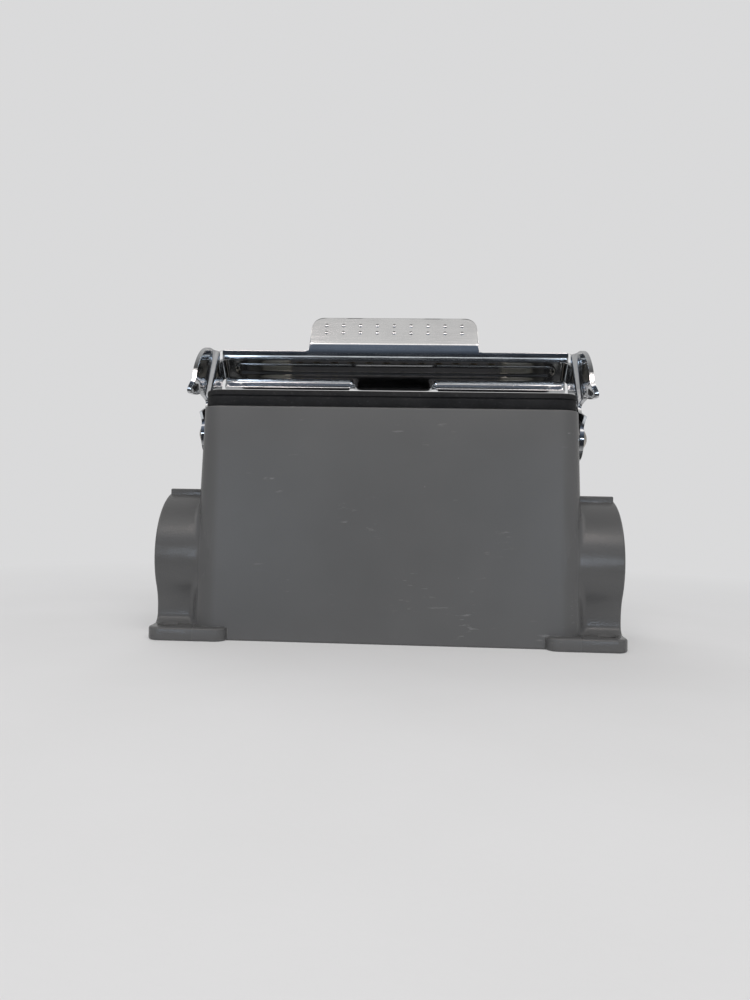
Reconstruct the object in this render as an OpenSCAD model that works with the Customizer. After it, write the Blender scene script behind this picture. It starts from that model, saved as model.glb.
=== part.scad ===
// Surface-mounting base of a heavy duty rectangular connector, 24 poles and earth.
// A die-cast housing with two side cable entries holds the socket insert. One locking
// lever of folded steel sheet swings on rivets in the short ends.
// Frame: X along the housing, Y across it, Z up from the mounting face.

/* [Housing] */
// Length of the housing at its rim
rim_l = 121; // [119:0.5:126]
// Width of the housing at its rim
rim_w = 43; // [42.5:0.5:50]
// Radius of the rim's corners
rim_r = 7; // [4:0.5:10]
// Height of the rim face above the mounting face
rim_z = 74.6; // [70:0.1:90]
// Draft of the outer walls, in degrees
draft = 2; // [0.5:0.1:3]
// Thickness of the walls at the rim
wall = 3.6; // [3:0.1:3.8]
// Thickness of the closed bottom
floor_t = 3.6; // [2.5:0.1:6]
// Draft of the inner walls, in degrees
core_draft = 0.5; // [0.3:0.1:1]
// Height of the upstand that locates the seal
upstand_h = 3.4; // [2:0.1:4]
// Thickness of that upstand
upstand_t = 1.5; // [1:0.1:2]

/* [Feet] */
// Width over the feet, across the housing
foot_w = 55.2; // [54:0.2:64]
// Thickness of the feet
foot_t = 4.2; // [3:0.1:6]
// Length of each foot, from its outer end inwards
foot_l = 25; // [20:0.5:30]
// Distance from each foot's outer end to its mounting holes
hole_inset = 5.5; // [4.5:0.1:7]
// Distance between mounting holes across the housing
hole_pitch_y = 43; // [42:0.5:46]
// Diameter of the mounting holes
hole_d = 5.5; // [4.5:0.1:6]

/* [Cable entries] */
// Diameter of the round cable entry bosses
boss_d = 42; // [40:0.5:45]
// Height of the entries' axis above the mounting face
boss_z = 26.2; // [25:0.2:30]
// Distance over the faces of both bosses
boss_span = 149.4; // [146:0.2:154]
// Diameter of the entry's tapped bore, at the crests of an M32 x 1.5 thread
entry_d = 30.4; // [28:0.1:33]
// Depth of the tapped bore
entry_depth = 12; // [8:0.5:13]
// Diameter of the plain bore behind the thread
entry_back_d = 27; // [20:0.5:28]
// Width of the upright pedestal below each boss
pedestal_w = 33; // [28:0.5:38]
// Width of the flat rib on each boss's crown
crown_w = 14; // [10:0.5:18]
// Height of that rib above the boss
crown_h = 0.8; // [0.4:0.1:1.5]
// Fillet where the pedestal meets the foot
pedestal_fillet = 3; // [1:0.5:5]

/* [Seal] */
// Height of the seal above the rim face
seal_h = 5.3; // [4.5:0.1:6.5]
// Distance from the housing's outer wall to the seal
seal_inset = 0.6; // [0.3:0.1:1]
// Depth of the groove round the seal's side
seal_groove = 0.35; // [0.1:0.05:0.6]

/* [Lever] */
// Height of the lever's pivot axis above the mounting face
pivot_z = 67.3; // [65:0.1:69]
// Thickness of the lever's sheet
sheet_t = 1.5; // [1:0.1:1.8]
// Distance from the lever's centre to the inside of its legs, at the pivot
leg_x = 62.7; // [62.5:0.1:64]
// How far the hooks are stepped outwards from the legs
joggle = 1.7; // [1:0.1:2.5]
// Diameter of the leg's round end
leg_end_d = 15; // [13:0.5:16]
// Inner radius of the sheet's bends
bend_r = 2.5; // [1.5:0.1:4]
// Diameter of the hood's peg that the hook takes
peg_d = 5; // [4:0.1:5.5]
// Distance from the pivot to that peg when the lever is closed
peg_path_r = 12.6; // [12:0.1:13.5]
// Turn from this raised pose to the closed pose, in degrees
lift = 26; // [20:1:30]
// Width of the thumb tab
tab_w = 60.4; // [40:0.2:80]
// Length of the thumb tab above its fold
tab_l = 10.9; // [8:0.1:16]
// Backward lean of the thumb tab, in degrees
tab_lean = 18; // [5:1:30]
// Number of grip dots along the tab
dot_columns = 9; // [3:2:11]
// Distance between the grip dots along the tab
dot_pitch_x = 6.15; // [4:0.05:7]
// Distance between the two rows of grip dots
dot_pitch_z = 2.9; // [2:0.1:4]
// Diameter of a grip dot
dot_d = 1.7; // [1:0.1:2.2]
// Width of the tongue in the middle of the bar's lower edge
tongue_w = 24.4; // [16:0.2:40]

/* [Pivots] */
// Diameter of the rivets' shank
rivet_d = 5; // [4:0.1:6]
// Diameter of the rivets' domed head
rivet_head_d = 8.2; // [7:0.1:9]
// Height of the domed head
rivet_head_h = 2.2; // [1.5:0.1:2.6]
// Depth of the rivet's hole in the housing
rivet_depth = 4.6; // [3.5:0.1:5]
// Thickness of the washer between housing and leg
washer_t = 0.8; // [0.5:0.1:0.9]
// Diameter of that washer
washer_d = 11; // [9:0.5:14]

/* [Insert] */
// Distance between the insert's fixing screws along the housing
fix_pitch_x = 104; // [102:0.5:105]
// Distance between the insert's fixing screws across the housing
fix_pitch_y = 27; // [26:0.5:28]
// Height of the posts that carry the insert
post_z = 56; // [50:0.5:60]
// Diameter of those posts
post_d = 9; // [7:0.5:10]
// Number of contacts in each row
columns = 12; // [4:1:12]
// Distance between contacts in a row
contact_pitch = 6.8; // [6.4:0.1:7]
// Distance between the two rows of contacts
row_pitch = 12; // [11:0.5:13]
// Height of the insert's mating face above its fixing plates
insert_up = 17.5; // [14:0.5:20]
// Depth of the insert below its fixing plates
insert_down = 18; // [16:0.5:22]
// Thickness of the fixing plates
plate_t = 2.2; // [1.5:0.1:3]

/* [Hidden] */
$fn = 64;
LEFT = -1;
RIGHT = 1;
SIDES = [LEFT, RIGHT];
cut = 0.5;                                  // how far a cutter runs past a face
run_gap = 0.05;                             // radial play of the lever on its rivets
end_gap = 0.1;                              // play of the leg between washer and rivet head
slip_gap = 0.1;                             // clearance of pieces that slide together
tuck = 0.02;                                // where one form runs into another, its faces lie this deep

// Housing
out_step = hundredths(rim_z * tan(draft));  // how much wider each side is at the foot
core_l = rim_l - 2 * wall;
core_w = rim_w - 2 * wall;
core_r = rim_r - wall;
core_top = rim_z + upstand_h;
core_h = core_top + cut - floor_t;          // the core is cut to just past the upstand
core_step = hundredths(core_h * tan(core_draft));
foot_r = 4;
boss_face_x = boss_span / 2;
hole_pitch_x = boss_span - 2 * hole_inset;
boss_chamfer = 0.8;
crown_z = boss_z + boss_d / 2 + crown_h;
boss_root_x = rim_l / 2 - wall / 2;         // bosses are rooted in the end wall

// Pivots, counted outwards from the end wall
pivot_pad_d = washer_d + 2;
pivot_pad_x = leg_x - end_gap - washer_t;
leg_out_x = leg_x + sheet_t;
rivet_hole_x = pivot_pad_x - rivet_depth;

// Lever in the side view: Y across and Z up, counted from the pivot
face_w = 8.2;                               // the bar's main face, from its knee up to its fold
face_lean = 36;
knee = [17.8, 21.8];                        // lower edge of that face, on the inner side
flange_w = 3.7;                             // folded up from the face
flange_lean = 15.5;
lip_w = 2.9;                                // folded back from the face
lip_lean = -29;
flange_end = 2;                             // both folds stop this far inside the legs
tongue_l = 5;
bead_w = 4.4;                               // pressed bead along the face
bead_d = 0.6;
bead_end = 4.5;
tab_step = 2.6;                             // upright foot of the thumb tab
tab_r = 4.4;
tab_fillet = 1.6;
dot_up = 0.5;                               // height of the grip dots
hook_back = [6.5, 9.2];                     // centre of the hook's round back
hook_back_r = 22;
hook_front = -13.8;
hook_tip_z = 12.4;
step_lean = -31;                            // the leg steps outwards across this slanted line
step_from = leg_end_d / 2 + 0.1;
step_to = step_from + 1.8;
slot_w = peg_d + 0.4;
seat_extra = 0.5;                           // the slot widens into a seat for the closed peg
fold = knee + face_w * up(face_lean);
flange_top = fold + flange_w * up(flange_lean);

// Insert
fix_x = fix_pitch_x / 2;
fix_y = fix_pitch_y / 2;
fix_screw_d = 4;
fix_screw_l = 9;
fix_head_d = 7;
fix_head_h = 2.6;
fix_washer_t = 0.8;
plate_top = post_z + plate_t;
plate_end_x = core_l / 2 - 1.4;
block_l = (columns - 1) * contact_pitch + 10;
block_w = fix_pitch_y + 6;
shroud_l = block_l - 3;
shroud_w = row_pitch + 11;
plate_seat = 2.4;                           // how far a plate reaches under the insert's end
split_z = post_z - 5;                       // where the two mouldings meet
face_z = post_z + insert_up;
insert_low = post_z - insert_down;
contact_d = 3.8;
contact_bore = 2.5;
head_d = 5.2;                               // the contact's terminal end
head_top = split_z - 2;
wire_d = 3;
wire_depth = 8;
pin_depth = 16;
mouth_t = 1.6;                              // lip over each contact at the mating face
screw_d = 2.6;
screw_head_d = 4.2;
screw_head_h = 1.8;
screw_z = insert_low + 4.5;
earth_x = block_l / 2 + 7;
earth_block = 8;                            // width, depth and height of the earth screw's block
blade_w = 10;
blade_t = 1.6;
blade_drop = 3;                             // how far the earth blade stops below the mating face
earth_head_d = 6.6;
earth_head_h = 2.4;
clamp_t = 1.2;

function up(lean) = [-sin(lean), cos(lean)];
function hundredths(v) = round(100 * v) / 100;

module rounded_rect(l, w, r) {
    square([l - 2 * r, w], center = true);
    square([l, w - 2 * r], center = true);
    for (x = [-1, 1], y = [-1, 1])
        translate([x * (l / 2 - r), y * (w / 2 - r)]) circle(r);
}

module stadium(l, w) {
    square([l - w, w], center = true);
    for (s = [-1, 1]) translate([s * (l - w) / 2, 0]) circle(d = w);
}

// A rounded block whose sides all move in by step from its foot to its top
module drafted_block(l, w, r, h, step) {
    corner = [l / 2 - r, w / 2 - r];
    for (x = [-1, 1], y = [-1, 1])
        translate([x * corner[0], y * corner[1], 0]) cylinder(h, r, r - step);
    rotate([90, 0, 0]) linear_extrude(2 * corner[1], center = true) drafted_side(l, h, step);
    rotate([90, 0, 90]) linear_extrude(2 * corner[0], center = true) drafted_side(w, h, step);
}

module drafted_side(l, h, step) {
    polygon([[-l / 2, 0], [l / 2, 0], [l / 2 - step, h], [step - l / 2, h]]);
}

// Extrudes a side view (Y and Z) along X
module along_x(x0, x1) {
    translate([x0, 0, 0]) rotate([90, 0, 90]) linear_extrude(x1 - x0) children();
}

module x_rod(x0, x1, y, z, d) {
    translate([x0, y, z]) rotate([0, 90, 0]) cylinder(x1 - x0, d = d);
}

module at_side(side) {
    mirror([side == LEFT ? 1 : 0, 0, 0]) children();
}

module at_corners(x, y) {
    for (sx = SIDES, sy = [-1, 1]) translate([sx * x, sy * y, 0]) children();
}

// A screw head with a slot across it, standing on Z = 0
module slotted_head(d, h) {
    slot = d / 6;
    difference() {
        cylinder(h, d = d);
        translate([0, 0, h]) cube([slot, d + 2 * cut, h], center = true);
    }
}

// ---- Housing ----

module foot() {
    translate([boss_face_x - foot_l / 2, 0, 0]) linear_extrude(foot_t)
        rounded_rect(foot_l, foot_w, foot_r);
}

module pedestal_side() {
    fillet_top = foot_t + pedestal_fillet;
    fillet_y = pedestal_w / 2 + pedestal_fillet;
    translate([-pedestal_w / 2, foot_t / 2]) square([pedestal_w, boss_z - foot_t / 2]);
    difference() {
        translate([-fillet_y, foot_t / 2]) square([2 * fillet_y, fillet_top - foot_t / 2]);
        for (s = [-1, 1]) translate([s * fillet_y, fillet_top]) circle(pedestal_fillet);
    }
}

module entry_boss() {
    cast_face_x = boss_face_x - boss_chamfer;
    x_rod(boss_root_x, cast_face_x, 0, boss_z, boss_d);
    translate([cast_face_x, 0, boss_z]) rotate([0, 90, 0])
        cylinder(boss_chamfer, boss_d / 2, boss_d / 2 - boss_chamfer);
    along_x(boss_root_x, cast_face_x) {
        pedestal_side();
        translate([-crown_w / 2, boss_z]) square([crown_w, crown_z - boss_z]);
    }
}

module entry_bore() {
    x_rod(boss_face_x - entry_depth, boss_face_x + cut, 0, boss_z, entry_d);
    x_rod(core_l / 2 - core_step - cut, boss_face_x, 0, boss_z, entry_back_d);
}

module pivot_pad() {
    x_rod(boss_root_x, pivot_pad_x, 0, pivot_z, pivot_pad_d);
}

// A post for one fixing screw, webbed to both walls of its corner
module insert_post() {
    reach = [core_l / 2 - fix_x + wall / 2, core_w / 2 - fix_y + wall / 2];
    h = post_z - floor_t / 2;
    translate([fix_x, fix_y, floor_t / 2]) {
        cylinder(h, d = post_d);
        translate([0, -post_d / 4, 0]) cube([reach[0], post_d / 2, h]);
        translate([-post_d / 4, 0, 0]) cube([post_d / 2, reach[1], h]);
    }
}

module housing_outside() {
    drafted_block(rim_l + 2 * out_step, rim_w + 2 * out_step, rim_r + out_step, rim_z, out_step);
    translate([0, 0, rim_z - cut]) linear_extrude(upstand_h + cut) upstand_outline();
    for (side = SIDES) at_side(side) {
        foot();
        entry_boss();
        pivot_pad();
    }
}

module upstand_outline() {
    rounded_rect(core_l + 2 * upstand_t, core_w + 2 * upstand_t, core_r + upstand_t);
}

module housing_inside() {
    translate([0, 0, floor_t])
        drafted_block(core_l - 2 * core_step, core_w - 2 * core_step,
                      core_r - core_step, core_h, -core_step);
}

module housing() {
    color([0.35, 0.35, 0.35]) difference() {
        union() {
            difference() {
                housing_outside();
                housing_inside();
            }
            for (sx = [0, 1], sy = [0, 1]) mirror([sx, 0, 0]) mirror([0, sy, 0]) insert_post();
        }
        for (side = SIDES) at_side(side) {
            entry_bore();
            x_rod(rivet_hole_x, pivot_pad_x + cut, 0, pivot_z, rivet_d);
        }
        at_corners(hole_pitch_x / 2, hole_pitch_y / 2)
            translate([0, 0, -cut]) cylinder(foot_t + 2 * cut, d = hole_d);
        at_corners(fix_x, fix_y)
            translate([0, 0, post_z - fix_screw_l]) cylinder(fix_screw_l + cut, d = fix_screw_d);
    }
}

// ---- Seal ----

module seal_band(z0, z1, inset) {
    translate([0, 0, z0]) linear_extrude(z1 - z0)
        rounded_rect(rim_l - 2 * inset, rim_w - 2 * inset, rim_r - inset);
}

module rim_seal() {
    groove_z = rim_z + 0.6 * seal_h;
    seal_top = rim_z + seal_h;
    color([0.1, 0.1, 0.11]) difference() {
        union() {
            seal_band(rim_z, groove_z, seal_inset);
            seal_band(groove_z, groove_z + seal_groove, seal_inset + seal_groove);
            seal_band(groove_z + seal_groove, seal_top, seal_inset);
        }
        translate([0, 0, rim_z - cut]) linear_extrude(upstand_h + cut) upstand_outline();
        translate([0, 0, rim_z]) linear_extrude(seal_h + cut) rounded_rect(core_l, core_w, core_r);
    }
}

// ---- Lever ----

// A flat strip of the bar's section, rising from a point at a lean
module strip(from, lean, w) {
    translate(from) rotate(lean) square([sheet_t, w]);
}

// Rounds the outside of a fold, from the lean below it to the lean above it
module fold_round(at, lean0, lean1) {
    overlap = 8;
    translate(at) intersection() {
        circle(sheet_t);
        rotate(lean0 - overlap) square(2 * sheet_t);
        rotate(lean1 + overlap) mirror([0, 1]) square(2 * sheet_t);
    }
}

// A round-ended bead pressed along the bar's face, from depth y0 to y1
module bead(w, y0, y1) {
    translate([0, y0, face_w / 2]) rotate([-90, 0, 0]) linear_extrude(y1 - y0)
        stadium(2 * (leg_x - bead_end), w);
}

// Plan of the strip that makes the bar's face and turns into both legs at round bends
module face_plan() {
    depth = 40;
    arm = bend_r + 3;
    difference() {
        translate([0, sheet_t - depth / 2]) rounded_rect(2 * (leg_out_x - tuck), depth, bend_r + sheet_t);
        translate([0, -depth / 2]) rounded_rect(2 * (leg_x + tuck), depth, bend_r);
        translate([-leg_out_x - cut, -arm - depth]) square([2 * (leg_out_x + cut), depth]);
    }
}

module bar_face() {
    translate([0, knee[0], knee[1]]) rotate([face_lean, 0, 0]) difference() {
        union() {
            linear_extrude(face_w) face_plan();
            bead(bead_w + 2 * bead_d, sheet_t / 2, sheet_t + bead_d);
        }
        bead(bead_w, -cut, bead_d);
    }
}

module bar_folds() {
    end_x = leg_x - flange_end;
    along_x(-end_x, end_x) strip(fold, flange_lean, flange_w);
    for (side = SIDES) at_side(side) along_x(tongue_w / 2 + flange_end / 4, end_x) {
        strip(knee - lip_w * up(lip_lean), lip_lean, lip_w);
        fold_round(knee, lip_lean, face_lean);
    }
    along_x(-tongue_w / 2, tongue_w / 2)
        strip(knee - tongue_l * up(face_lean), face_lean, tongue_l + cut);
}

// Outline of the tab in its own plane, from its root upwards
module tab_outline() {
    translate([-tab_w / 2, 0]) square([tab_w, tab_l - tab_r]);
    translate([tab_r - tab_w / 2, 0]) square([tab_w - 2 * tab_r, tab_l]);
    for (s = [-1, 1]) translate([s * (tab_w / 2 - tab_r), tab_l - tab_r]) circle(tab_r);
}

module tab_foot() {
    translate([-tab_w / 2, 0]) square([tab_w, tab_step]);
    difference() {
        translate([-tab_w / 2 - tab_fillet, 0]) square([tab_w + 2 * tab_fillet, tab_fillet]);
        for (s = [-1, 1]) translate([s * (tab_w / 2 + tab_fillet), tab_fillet]) circle(tab_fillet);
    }
}

// The sheet of an upright outline in X and Z, its thickness laid outwards along Y
module sheet_of(t = sheet_t) {
    translate([0, t, 0]) rotate([90, 0, 0]) linear_extrude(t) children();
}

module thumb_tab() {
    tab_at = flange_top + [0, tab_step];
    translate([0, flange_top[0], flange_top[1]]) sheet_of() tab_foot();
    translate([0, tab_at[0], tab_at[1]]) rotate([-tab_lean, 0, 0]) {
        sheet_of() tab_outline();
        for (i = [0 : dot_columns - 1], j = [0, 1])
            translate([(i - (dot_columns - 1) / 2) * dot_pitch_x, 0, tab_l - 3.2 - j * dot_pitch_z])
                grip_dot();
    }
}

// A cap of a sphere on the sheet's inner side
module grip_dot() {
    cap_r = (pow(dot_d / 2, 2) + pow(dot_up, 2)) / (2 * dot_up);
    translate([0, cap_r - dot_up, 0]) sphere(cap_r, $fn = 24);
}

// The leg and its hook in the side view, before the peg's slot is cut
module leg_outline() {
    end_r = leg_end_d / 2;
    inward = [cos(face_lean), sin(face_lean)] * (bend_r + 0.5);
    circle(end_r);
    intersection() {
        translate(hook_back) circle(hook_back_r, $fn = 128);
        polygon([[hook_front, hook_tip_z], [hook_front, 2 * hook_back_r], [fold[0] - inward[0], 2 * hook_back_r],
                 fold - inward, knee - inward, [end_r, 0], [-end_r, 0], [-end_r + 1.5, hook_tip_z]]);
    }
}

// The slot follows the peg's path and ends where the peg sits in the closed pose
module peg_slot() {
    seat_a = 90 + lift;
    intersection() {
        difference() {
            circle(peg_path_r + slot_w / 2);
            circle(peg_path_r - slot_w / 2);
        }
        rotate(seat_a) square(2 * peg_path_r);
    }
    rotate(seat_a) translate([peg_path_r, 0]) circle(d = slot_w + seat_extra);
}

// The leg's sheet, stepped outwards across a slanted line
module stepped_sheet() {
    far = 2 * hook_back_r;
    hook_x = leg_x + joggle;
    rotate([step_lean, 0, 0]) linear_extrude(2 * far, center = true)
        polygon([[leg_x, far], [leg_x, -step_from], [hook_x, -step_to], [hook_x, -far],
                 [hook_x + sheet_t, -far], [hook_x + sheet_t, -step_to],
                 [leg_out_x, -step_from], [leg_out_x, far]]);
}

module leg() {
    difference() {
        intersection() {
            along_x(leg_x, leg_out_x + joggle) leg_outline();
            stepped_sheet();
        }
        x_rod(leg_x - cut, leg_out_x + cut, 0, 0, rivet_d + 2 * run_gap);
        along_x(leg_x - cut, leg_out_x + joggle + cut) peg_slot();
    }
}

module locking_lever() {
    color([0.72, 0.72, 0.7]) translate([0, 0, pivot_z]) {
        for (side = SIDES) at_side(side) leg();
        bar_face();
        bar_folds();
        thumb_tab();
    }
}

// ---- Pivots ----

module rivet(side) {
    head_x = leg_out_x + end_gap;
    dome_r = (pow(rivet_head_d / 2, 2) + pow(rivet_head_h, 2)) / (2 * rivet_head_h);
    color([0.55, 0.53, 0.5]) at_side(side) {
        x_rod(rivet_hole_x, head_x + rivet_head_h / 2, 0, pivot_z, rivet_d);
        translate([head_x, 0, pivot_z]) rotate([0, 90, 0]) rotate_extrude() intersection() {
            translate([0, rivet_head_h - dome_r]) circle(dome_r);
            square([rivet_head_d / 2, rivet_head_h]);
        }
    }
}

module pivot_rivet_left() { rivet(LEFT); }
module pivot_rivet_right() { rivet(RIGHT); }

module pivot_washer(side) {
    color([0.6, 0.6, 0.6]) at_side(side) difference() {
        x_rod(pivot_pad_x, pivot_pad_x + washer_t, 0, pivot_z, washer_d);
        x_rod(pivot_pad_x - cut, pivot_pad_x + washer_t + cut, 0, pivot_z, rivet_d + 2 * slip_gap);
    }
}

module pivot_washer_left() { pivot_washer(LEFT); }
module pivot_washer_right() { pivot_washer(RIGHT); }

// ---- Insert ----

module at_contacts() {
    for (i = [0 : columns - 1], s = [-1, 1])
        translate([(i - (columns - 1) / 2) * contact_pitch, s * row_pitch / 2, 0])
            rotate(s * 90) children();
}

// Chambers for the contacts, right through both mouldings
module contact_chambers() {
    at_contacts() {
        translate([0, 0, insert_low - cut]) cylinder(head_top - insert_low + cut, d = head_d + 2 * slip_gap);
        translate([0, 0, head_top - cut])
            cylinder(face_z - mouth_t - head_top + cut, d = contact_d + 2 * slip_gap);
        cylinder(face_z + cut, d = contact_bore + 0.7);
    }
}

module insert_body() {
    shelf_top = plate_top + 2.8;
    color([0.2, 0.2, 0.21]) difference() {
        union() {
            translate([0, 0, split_z]) linear_extrude(shelf_top - split_z)
                rounded_rect(block_l, block_w, 1.5);
            linear_extrude(face_z) rounded_rect(shroud_l, shroud_w, 2);
        }
        translate([0, 0, split_z / 2]) cube([block_l, block_w, split_z], center = true);
        for (side = SIDES) at_side(side)
            translate([block_l / 2 - plate_seat, -block_w / 2 - cut, post_z])
                cube([plate_seat + cut, block_w + 2 * cut, plate_t]);
        contact_chambers();
    }
}

module terminal_carrier() {
    color([0.27, 0.27, 0.28]) difference() {
        translate([0, 0, insert_low]) linear_extrude(split_z - insert_low)
            rounded_rect(block_l - 1, block_w - 1, 1.5);
        contact_chambers();
        at_contacts() x_rod(0, block_w, 0, screw_z, screw_head_d + 4 * slip_gap);
    }
}

module socket_contacts() {
    low = insert_low + slip_gap;
    top = face_z - mouth_t - slip_gap;
    color([0.8, 0.7, 0.45]) at_contacts() difference() {
        union() {
            translate([0, 0, low]) cylinder(head_top - low, d = head_d);
            translate([0, 0, head_top - cut]) cylinder(top - head_top + cut, d = contact_d);
        }
        translate([0, 0, top - pin_depth]) cylinder(pin_depth + cut, d = contact_bore);
        translate([0, 0, low - cut]) cylinder(wire_depth + cut, d = wire_d);
        x_rod(0, head_d, 0, screw_z, screw_d);
    }
}

module terminal_screws() {
    color([0.75, 0.75, 0.72]) at_contacts() {
        x_rod(wire_d / 2 + slip_gap, head_d / 2 + cut, 0, screw_z, screw_d);
        translate([head_d / 2, 0, screw_z]) rotate([0, 90, 0]) slotted_head(screw_head_d, screw_head_h);
    }
}

// A fixing plate with its earth blade and the block that takes the earth screw
module earth_plate(side) {
    inner_x = block_l / 2 - plate_seat;
    blade_x = block_l / 2 + slip_gap;
    color([0.7, 0.68, 0.6]) at_side(side) difference() {
        union() {
            translate([inner_x, -block_w / 2, post_z]) cube([plate_end_x - inner_x, block_w, plate_t]);
            translate([blade_x, -blade_w / 2, post_z]) cube([blade_t, blade_w, face_z - blade_drop - post_z]);
            translate([earth_x - earth_block / 2, -earth_block / 2, post_z - earth_block])
                cube([earth_block, earth_block, earth_block + plate_t / 2]);
        }
        for (s = [-1, 1]) translate([fix_x, s * fix_y, post_z - cut])
            cylinder(plate_t + 2 * cut, d = fix_screw_d + 0.4);
        translate([earth_x, 0, post_z - earth_block - cut])
            cylinder(earth_block + plate_t + 2 * cut, d = fix_screw_d);
    }
}

module earth_plate_left() { earth_plate(LEFT); }
module earth_plate_right() { earth_plate(RIGHT); }

// A saddle that presses the earth wire onto the plate
module earth_clamp(side) {
    size = earth_head_d + 1.6;
    lug = 1;
    color([0.72, 0.72, 0.7]) at_side(side) translate([earth_x, 0, plate_top]) difference() {
        union() {
            translate([-size / 2, -size / 2, lug]) cube([size, size, clamp_t]);
            for (s = [-1, 1]) translate([-size / 2, s * (size - lug) / 2 - lug / 2, 0])
                cube([size, lug, lug + clamp_t / 2]);
        }
        translate([0, 0, -cut]) cylinder(lug + clamp_t + 2 * cut, d = fix_screw_d + 2 * slip_gap);
    }
}

module earth_clamp_left() { earth_clamp(LEFT); }
module earth_clamp_right() { earth_clamp(RIGHT); }

module earth_screw(side) {
    seat_z = plate_top + 1 + clamp_t;
    low_z = post_z - earth_block + 1;
    color([0.75, 0.75, 0.72]) at_side(side) translate([earth_x, 0, 0]) {
        translate([0, 0, low_z]) cylinder(seat_z + cut - low_z, d = fix_screw_d);
        translate([0, 0, seat_z]) slotted_head(earth_head_d, earth_head_h);
    }
}

module earth_screw_left() { earth_screw(LEFT); }
module earth_screw_right() { earth_screw(RIGHT); }

module fixing_screws() {
    seat_z = plate_top + fix_washer_t;
    low_z = post_z - fix_screw_l + 1;
    color([0.75, 0.75, 0.72]) at_corners(fix_x, fix_y) {
        translate([0, 0, low_z]) cylinder(seat_z + cut - low_z, d = fix_screw_d);
        translate([0, 0, seat_z]) slotted_head(fix_head_d, fix_head_h);
    }
}

module fixing_washers() {
    color([0.6, 0.6, 0.6]) at_corners(fix_x, fix_y) translate([0, 0, plate_top]) difference() {
        cylinder(fix_washer_t, d = fix_head_d + 0.4);
        translate([0, 0, -cut]) cylinder(fix_washer_t + 2 * cut, d = fix_screw_d + 2 * slip_gap);
    }
}

housing();
rim_seal();
locking_lever();
pivot_rivet_left();
pivot_rivet_right();
pivot_washer_left();
pivot_washer_right();
insert_body();
terminal_carrier();
socket_contacts();
terminal_screws();
earth_plate_left();
earth_plate_right();
earth_clamp_left();
earth_clamp_right();
earth_screw_left();
earth_screw_right();
fixing_screws();
fixing_washers();
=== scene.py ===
"""Looks of the connector's base housing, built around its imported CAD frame."""

import math

import bmesh
import bpy
from mathutils import Matrix, Vector
from mathutils.bvhtree import BVHTree
from mathutils.geometry import delaunay_2d_cdt

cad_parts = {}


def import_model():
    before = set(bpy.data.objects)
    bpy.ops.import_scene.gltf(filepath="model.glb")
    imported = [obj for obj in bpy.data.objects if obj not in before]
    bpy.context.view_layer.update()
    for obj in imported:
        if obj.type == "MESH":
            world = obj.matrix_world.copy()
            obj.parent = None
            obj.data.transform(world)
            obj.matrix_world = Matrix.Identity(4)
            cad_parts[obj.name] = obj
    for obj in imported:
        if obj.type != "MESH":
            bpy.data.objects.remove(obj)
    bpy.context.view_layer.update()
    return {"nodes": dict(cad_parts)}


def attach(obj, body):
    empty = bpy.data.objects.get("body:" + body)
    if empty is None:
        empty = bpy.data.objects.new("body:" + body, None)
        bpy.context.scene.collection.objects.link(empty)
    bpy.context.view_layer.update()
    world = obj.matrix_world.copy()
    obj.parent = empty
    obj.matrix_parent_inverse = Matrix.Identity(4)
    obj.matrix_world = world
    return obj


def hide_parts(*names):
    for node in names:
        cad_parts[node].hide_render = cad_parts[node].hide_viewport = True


MM = 0.001
SIDES = (-1, 1)

# Housing, in millimetres. The main sizes are those of the CAD source.
RIM_L, RIM_W, RIM_R, RIM_Z = 121.0, 43.0, 7.0, 74.6
OUT_STEP = 2.61            # how much wider each side is at the foot
WALL, FLOOR_T, CORE_STEP = 3.6, 3.6, 0.65
UPSTAND_H, UPSTAND_T = 3.4, 1.5
FOOT_L, FOOT_W, FOOT_T, FOOT_R = 25.0, 55.2, 4.2, 4.0
HOLE_X, HOLE_Y, HOLE_R = 69.2, 21.5, 2.75
BOSS_X, BOSS_Z, BOSS_R = 74.7, 26.2, 21.0
BOSS_ROOT_X, BOSS_LOW = 58.7, 2.2      # the crown's inner end; the boss's bottom, inside the foot
ENTRY_R, ENTRY_DEPTH, ENTRY_BACK_R = 15.2, 12.0, 13.5
THREAD_PITCH, THREAD_DEPTH = 1.5, 0.85
THREAD_FORM = [(0, 0), (0.6, THREAD_DEPTH), (0.78, THREAD_DEPTH), (1.38, 0)]
PEDESTAL_W, PEDESTAL_FILLET = 33.0, 3.0
CROWN_W, CROWN_H = 14.0, 0.8
PIVOT_Z, PAD_R, PAD_X = 67.3, 6.5, 61.8
POST_X, POST_Y, POST_Z, POST_R = 52.0, 13.5, 56.0, 4.5
POST_LOW, WEB_REACH = 2, 6

# Seal
SEAL_H, SEAL_INSET, SEAL_GROOVE = 5.3, 0.6, 0.35

# Lever, in millimetres. Points are Y and Z in its side view, from the pivot.
SHEET_T, LEG_X, JOGGLE, BEND_R = 1.5, 62.7, 1.7, 2.5
BAR_END_X, BEND_RUN, FLAP_X = 60.2, 0.5, (61.3, 62.4)
LIP_FOOT = (16.4, 19.3)
KNEE_LOW, KNEE = (17.6, 21.3), (17.42, 22.8)
FOLD, FOLD_TOP = (12.25, 28.6), (12.06, 30.1)
FLANGE_MID, FLANGE_Z = (12.06, 31.9), 32.0
TAB_ROOT, TAB_TOP = (12.3, 34.6), (15.4, 44.92)
SECTION = [LIP_FOOT, KNEE_LOW, KNEE, FOLD, FOLD_TOP, FLANGE_MID, TAB_ROOT, TAB_TOP]
SECTION_RADII = [0.8, 0.8, 0.8, 5.0, 20.0, 1.6]
TONGUE_L, TONGUE_W, LIP_RUN, TONGUE_END_ROWS = 5.0, 24.4, 4.0, 4
TAB_W, TAB_R, TAB_FILLET = 60.4, 4.4, 1.6
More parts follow.
